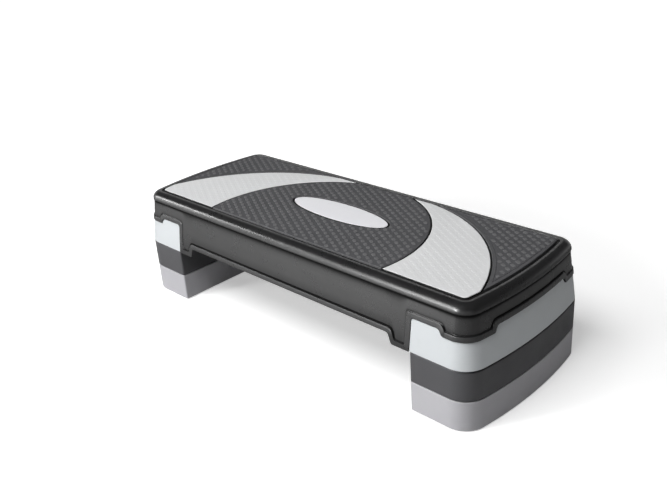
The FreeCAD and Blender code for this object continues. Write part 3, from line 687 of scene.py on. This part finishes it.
def treadBars(allowed, height, side=1):
    # rows of raised bars, every second row half a step along; each bar is a stadium drawn inwards as it
    # rises, cut short where the test of a place, or of its mirror image for a left-hand piece, fails
    angle = math.radians(deck["rowAngle"])
    ahead = np.array([math.cos(angle), math.sin(angle)])
    across = np.array([-ahead[1], ahead[0]])
    reach = int(2 * halfLength / deck["rowSpacing"])
    row, step = np.meshgrid(np.arange(-reach, reach + 1), np.arange(-reach, reach + 1), indexing="ij")
    shift = (step + 0.5 * (row % 2)) * deck["pitch"]
    centres = shift[..., None] * ahead + (row * deck["rowSpacing"])[..., None] * across + deck["start"]
    centres = centres.reshape(-1, 2)
    half = (deck["barLength"] - deck["barWidth"]) / 2
    spots = np.linspace(-half, half, deck["barSpots"])
    places = centres[:, None] + spots[:, None] * ahead
    inside = allowed(side * places[..., 0], places[..., 1])
    changes = np.diff(np.pad(inside, ((0, 0), (1, 1))).astype(int), axis=1)
    unbroken = np.abs(changes).sum(axis=1) == 2  # one way in and one way out
    good = (inside.sum(axis=1) >= deck["leastSpots"]) & unbroken
    centres, inside = centres[good], inside[good]
    low = spots[inside.argmax(axis=1)]
    high = spots[len(spots) - 1 - inside[:, ::-1].argmax(axis=1)]
    turn = np.linspace(-math.pi / 2, math.pi / 2, deck["barArc"])
    turns = np.concatenate([turn, turn + math.pi])
    hub = np.repeat(np.stack([high, low], axis=1), len(turn), axis=1)
    rings = np.array(deck["barRings"])  # radius as a share of the width, height as one of the bar's, wear
    radius = rings[:, 0, None] * deck["barWidth"]
    u = hub[:, None] + radius * np.cos(turns)
    v = np.broadcast_to(radius * np.sin(turns), u.shape)
    flat = centres[:, None, None] + u[..., None] * ahead + v[..., None] * across
    level = np.broadcast_to(deck["top"] + rings[:, 1, None] * height, u.shape)
    points = np.concatenate([flat, level[..., None]], axis=-1)
    count = points[0, ..., 0].size
    bar = tube(points[0])[1]
    offsets = np.arange(len(centres))[:, None, None] * count
    faces = [(array[None] + offsets).reshape(-1, array.shape[1]) for array in bar]
    wear = np.tile(np.repeat(rings[:, 2], len(turns)), len(centres))
    return points.reshape(-1, 3), faces, wear


def outside(circle, x, y):
    # distance outside a circle, less than zero within it
    return np.hypot(x - circle[0], y - circle[1]) - circle[2]


def inField(x, y):
    # at least a border away from the field's sides and ends
    border = deck["border"]
    wide = np.abs(y) < fieldWidth - border
    return wide & (np.abs(x) < fieldEndX(np.clip(y, -fieldWidth, fieldWidth)) - border)


def crescentAllows(x, y):
    # outside the arch and within the sweep, by a border
    border = deck["border"]
    pastArch = outside(arch, x, y) > deck["groove"] + border
    return inField(x, y) & (x > 0) & pastArch & (outside(sweep, x, y) < -border)


def endMatAllows(x, y):
    # outside the sweep and the line beside it, by a border
    gap = deck["groove"] + deck["line"] + deck["border"]
    return inField(x, y) & (x > 0) & (outside(sweep, x, y) > gap)


def centreAllows(x, y):
    # within the arch and its mirror image, and outside the oval grown by its groove and a border
    border = deck["border"]
    long, wide = plateHigh[:2] + deck["groove"] + border
    pastOval = np.hypot(x / long, y / wide) > 1
    return inField(x, y) & (outside(arch, np.abs(x), y) < -border) & pastOval


def mirroredShape(shape):
    # left for right, with the faces turned to keep facing outwards
    points, faces = shape
    return points * np.array([-1, 1, 1]), [array[:, ::-1] for array in faces]


def platePiece(name, plate, layers, bars, node, material):
    # a plate and its bars as one piece; the bars bring their own wear and carry no painted shade
    points, faces, wear = bars
    shape = joined([plate, (points, faces)])
    layers = {"wear": np.concatenate([layers["wear"], wear]),
              "deep": np.pad(layers["deep"], (0, len(wear)))}
    makePiece(name, shape, "platform", node, material, layers)


def ringLayers(rings, worn, sunk):
    # the rows' own wear and painted shade for every point of their rings
    return {"wear": np.repeat(worn, rings.shape[1]), "deep": np.repeat(sunk, rings.shape[1])}


rows = edgeRows(deck["top"])
edgeWorn = np.array(deck["edgeWorn"])
edgeSunk = np.array(deck["edgeSunk"])
matRows = rows + (deck["slack"], 0)
line, slope, lineTop = deck["line"], deck["lineSlope"], deck["top"]
lineEnd, lineLow = line + deck["lineWidth"], lineTop - deck["lineDepth"]
lineRows = [(lineEnd, lineTop), (lineEnd - slope, lineLow), (line + slope, lineLow), (line, lineTop)]
holeRings = insetRings(ovalHole, rows + (deck["holeSlack"], 0))
centreRings = np.concatenate([holeRings[::-1], insetRings(centreOutline, matRows)])
centreWorn = np.concatenate([edgeWorn[::-1], edgeWorn])
centreLayers = ringLayers(centreRings, centreWorn, 0 * centreWorn)
centreBars = treadBars(centreAllows, deck["barHeight"])
platePiece("deckMatCentre", tube(centreRings, None, None), centreLayers, centreBars,
           "deck_mat_centre", deckRubber)
crescentRings = insetRings(crescentOutline, rows + (deck["crescentSlack"], 0))
crescentLayers = ringLayers(crescentRings, edgeWorn, edgeSunk)
endRings = insetRings(endMatOutline, np.concatenate([lineRows, matRows]))
endWorn = np.concatenate([deck["lineWorn"], edgeWorn])
endLayers = ringLayers(endRings, endWorn, 0 * endWorn)
for name, side in (("right", 1), ("left", -1)):
    crescentPlate, endPlate = tube(crescentRings), tube(endRings)
    if side < 0:
        crescentPlate, endPlate = mirroredShape(crescentPlate), mirroredShape(endPlate)
    points, faces, wear = treadBars(crescentAllows, deck["faintHeight"], side)
    faintBars = points, faces, wear * deck["faintWear"]
    platePiece(f"crescent{name.capitalize()}", crescentPlate, crescentLayers, faintBars,
               f"crescent_{name}", crescentRubber)
    endBars = treadBars(endMatAllows, deck["barHeight"], side)
    platePiece(f"deckMat{name.capitalize()}", endPlate, endLayers, endBars,
               f"deck_mat_{name}", deckRubber)
ovalRings = insetRings(ovalOutline, edgeRows(deck["plateTop"]) + (deck["ovalSlack"], 0))
makePiece("centrePlate", tube(ovalRings), "platform", "centre_plate", platePlastic,
          ringLayers(ovalRings, 0 * edgeWorn, edgeSunk))
print("inlays made")


# Feet, risers, pads and screws: the CAD shapes, smoothed, and where they are moulded, with soft edges

mould = {"softness": 0.8, "segments": 2, "leastAngle": 40}
kept = [  # first part of the node's name, body, slot, material, moulded or not
    ("upper_foot", "platform", "foot_plastic", footPlastic, True),
    ("upper_foot_screws", "platform", "screw_steel", screwSteel, False),
    ("upper_foot_pads", "platform", "pad_rubber", padRubber, False),
    ("middle_riser", "middle_{}", "middle_plastic", middlePlastic, True),
    ("middle_riser_pads", "middle_{}", "pad_rubber", padRubber, False),
    ("lower_riser", "lower_{}", "lower_plastic", lowerPlastic, True),
    ("lower_riser_pads", "lower_{}", "pad_rubber", padRubber, False),
]
for stem, body, slot, material, moulded in kept:
    for side in ("left", "right"):
        node = f"{stem}_{side}"
        words = node.split("_")
        name = words[0] + "".join(word.capitalize() for word in words[1:])
        piece = makePiece(name, cadSkin(node), body.format(side), node, material)
        if moulded:
            soften = piece.modifiers.new("softEdges", "BEVEL")  # the radius that a mould leaves on an edge
            soften.width = mould["softness"] * mm
            soften.segments = mould["segments"]
            soften.limit_method = "ANGLE"
            soften.angle_limit = math.radians(mould["leastAngle"])
            piece.modifiers.move(1, 0)  # before the one that evens the normals
print("feet and risers dressed")


# Stage: floor, light and camera

studio = {  # a glow or fade is its value at both ends of a range, then the range
    "floorReach": 8.0, "floorColour": (0.85, 0.85, 0.85), "floorBounce": (0.4, 0.4, 0.4),
    "floorRoughness": 0.9, "floorSpecular": 0.1, "floorGlow": (0.42, 1.0, 0.55, 1.3),
    "mirrorGlow": (0.0, 1.9, 0.36, 0.79), "mirrorLeft": (0.4, 1.0, -0.95, -0.2),
    "mirrorRight": (1.0, 0.08, -0.02, 0.2),
    "brightSide": (-0.6, -0.8, 0.0), "horizon": (0.08, 0.16, -1, 1), "upwardFade": (0.8, 0.024, 0.1, 0.4),
    "darkSide": (0.966, 0.259, 0.0), "darkness": (1.0, 0.12, 0.6, 0.93),
    "aim": (0.0, 0.0, 0.12),
    "lamps": [  # name, power, size, place, lights surfaces, shines in them
        ("keyLight", 78.0, (0.85, 2.4), (-1.75, -3.42, 1.7), True, True),
        ("sparkLight", 100.0, (0.3, 1.0), (-0.6, -3.65, 1.3), False, True),  # the rim's right end
        ("glintLight", 33.0, (0.9, 0.8), (-3.9, -2.2, 1.9), False, True),  # the rim's left end
        ("sideLight", 25.0, (1.5, 2.0), (-4.0, -2.3, 1.15), True, True),
        ("topLight", 57.0, (1.6, 1.2), (0.0, -1.3, 2.25), True, False),  # the deck, not the rim's shine
        ("fillLight", 14.0, (2.0, 1.5), (2.4, 2.1, 1.2), True, False),
    ],
}


def lookAt(place, target):
    # stands at the place with its back axis away from the target and its right axis level
    back = np.array(place, dtype=float) - np.array(target, dtype=float)
    back /= np.linalg.norm(back)
    right = np.cross((0, 0, 1), back)
    right /= np.linalg.norm(right)
    turn = Matrix(np.stack([right, np.cross(back, right), back], axis=1).tolist()).to_4x4()
    return Matrix.Translation(place) @ turn


# floor: takes the shadow and is whitened for the camera away from the object; in reflections it glows as
# painted light, brightest towards the key and faint to the right
reach = studio["floorReach"]
floorMesh = bpy.data.meshes.new("studioFloor")
floorCorners = [(-reach, -reach, 0), (reach, -reach, 0), (reach, reach, 0), (-reach, reach, 0)]
floorMesh.from_pydata(floorCorners, [], [(0, 1, 2, 3)])
floorPaint = bpy.data.materials.new("floorPaint")
tree, shader = nodeSet(floorPaint)
path = tree.nodes.new("ShaderNodeLightPath")
byCamera = path.outputs["Is Camera Ray"]
byMirror = larger(tree, path.outputs["Is Glossy Ray"], path.outputs["Is Transmission Ray"])
paint = mixed(tree, byCamera, studio["floorBounce"], studio["floorColour"])
tree.links.new(paint, shader.inputs["Base Color"])
shader.inputs["Roughness"].default_value = studio["floorRoughness"]
shader.inputs["Specular IOR Level"].default_value = studio["floorSpecular"]
shader.inputs["Emission Color"].default_value = (1, 1, 1, 1)
place = tree.nodes.new("ShaderNodeTexCoord").outputs["Object"]
away = tree.nodes.new("ShaderNodeVectorMath")
away.operation = "LENGTH"
tree.links.new(place, away.inputs[0])
glow = ranged(tree, away.outputs["Value"], *studio["floorGlow"])
nearer = ranged(tree, along(tree, place, (0, -1, 0)), *studio["mirrorGlow"])
rightward = along(tree, place, (1, 0, 0))
sides = [ranged(tree, rightward, *studio[name]) for name in ("mirrorLeft", "mirrorRight")]
mirrorGlow = multiplied(tree, nearer, multiplied(tree, *sides))
shown = larger(tree, multiplied(tree, byCamera, glow), multiplied(tree, byMirror, mirrorGlow))
tree.links.new(shown, shader.inputs["Emission Strength"])
floorMesh.materials.append(floorPaint)
floor = bpy.data.objects.new("studioFloor", floorMesh)
bpy.context.scene.collection.objects.link(floor)

# world: dim light from near the horizon and next to none overhead, plain white for the camera;
# in reflections the horizon is white, but dark beyond the right end
world = bpy.data.worlds.new("studioWorld")
bpy.context.scene.world = world
world.use_nodes = True
tree = world.node_tree
tree.nodes.clear()
output = tree.nodes.new("ShaderNodeOutputWorld")
around = tree.nodes.new("ShaderNodeBackground")
around.inputs["Color"].default_value = (1, 1, 1, 1)
directions = tree.nodes.new("ShaderNodeTexCoord").outputs["Generated"]
height = along(tree, directions, (0, 0, 1))
fade = ranged(tree, height, *studio["upwardFade"])
facing = along(tree, directions, studio["brightSide"])
side = ranged(tree, facing, *studio["horizon"])
path = tree.nodes.new("ShaderNodeLightPath")
byMirror = larger(tree, path.outputs["Is Glossy Ray"], path.outputs["Is Transmission Ray"])
shade = ranged(tree, along(tree, directions, studio["darkSide"]), *studio["darkness"])
reflected = multiplied(tree, fade, larger(tree, side, multiplied(tree, byMirror, shade)))
tree.links.new(larger(tree, reflected, path.outputs["Is Camera Ray"]), around.inputs["Strength"])
tree.links.new(around.outputs["Background"], output.inputs["Surface"])

# lamps: all turned towards one point of the part
for name, power, size, place, lights, shines in studio["lamps"]:
    light = bpy.data.lights.new(name, "AREA")
    light.shape = "RECTANGLE"
    light.size, light.size_y = size
    light.energy = power
    lamp = bpy.data.objects.new(name, light)
    lamp.matrix_world = lookAt(place, studio["aim"])
    lamp.visible_diffuse = lights
    lamp.visible_glossy = shines
    bpy.context.scene.collection.objects.link(lamp)

# camera: where the photo was taken from, found from the edges in it
cameraFit = {
    "azimuth": 45.923, "elevation": 25.307, "roll": -4.018, "distance": 1.491659,
    "target": (-0.050056, 0.028558, 0.1), "focalPixels": 822.018, "frameWidth": 667,
    "sensorWidth": 36, "farthest": 50,
}
az, el, roll = (math.radians(cameraFit[name]) for name in ("azimuth", "elevation", "roll"))
back = np.array([math.sin(az) * math.cos(el), -math.cos(az) * math.cos(el), math.sin(el)])
target = np.array(cameraFit["target"])
camera = bpy.data.objects.new("photoCamera", bpy.data.cameras.new("photoCamera"))
camera.data.sensor_width = cameraFit["sensorWidth"]
camera.data.lens = cameraFit["sensorWidth"] * cameraFit["focalPixels"] / cameraFit["frameWidth"]
camera.data.clip_end = cameraFit["farthest"]
camera.matrix_world = lookAt(target + back * cameraFit["distance"], target) @ Matrix.Rotation(roll, 4, "Z")
bpy.context.scene.collection.objects.link(camera)
bpy.context.scene.camera = camera
bpy.context.scene.view_settings.view_transform = "Standard"
print("stage set")
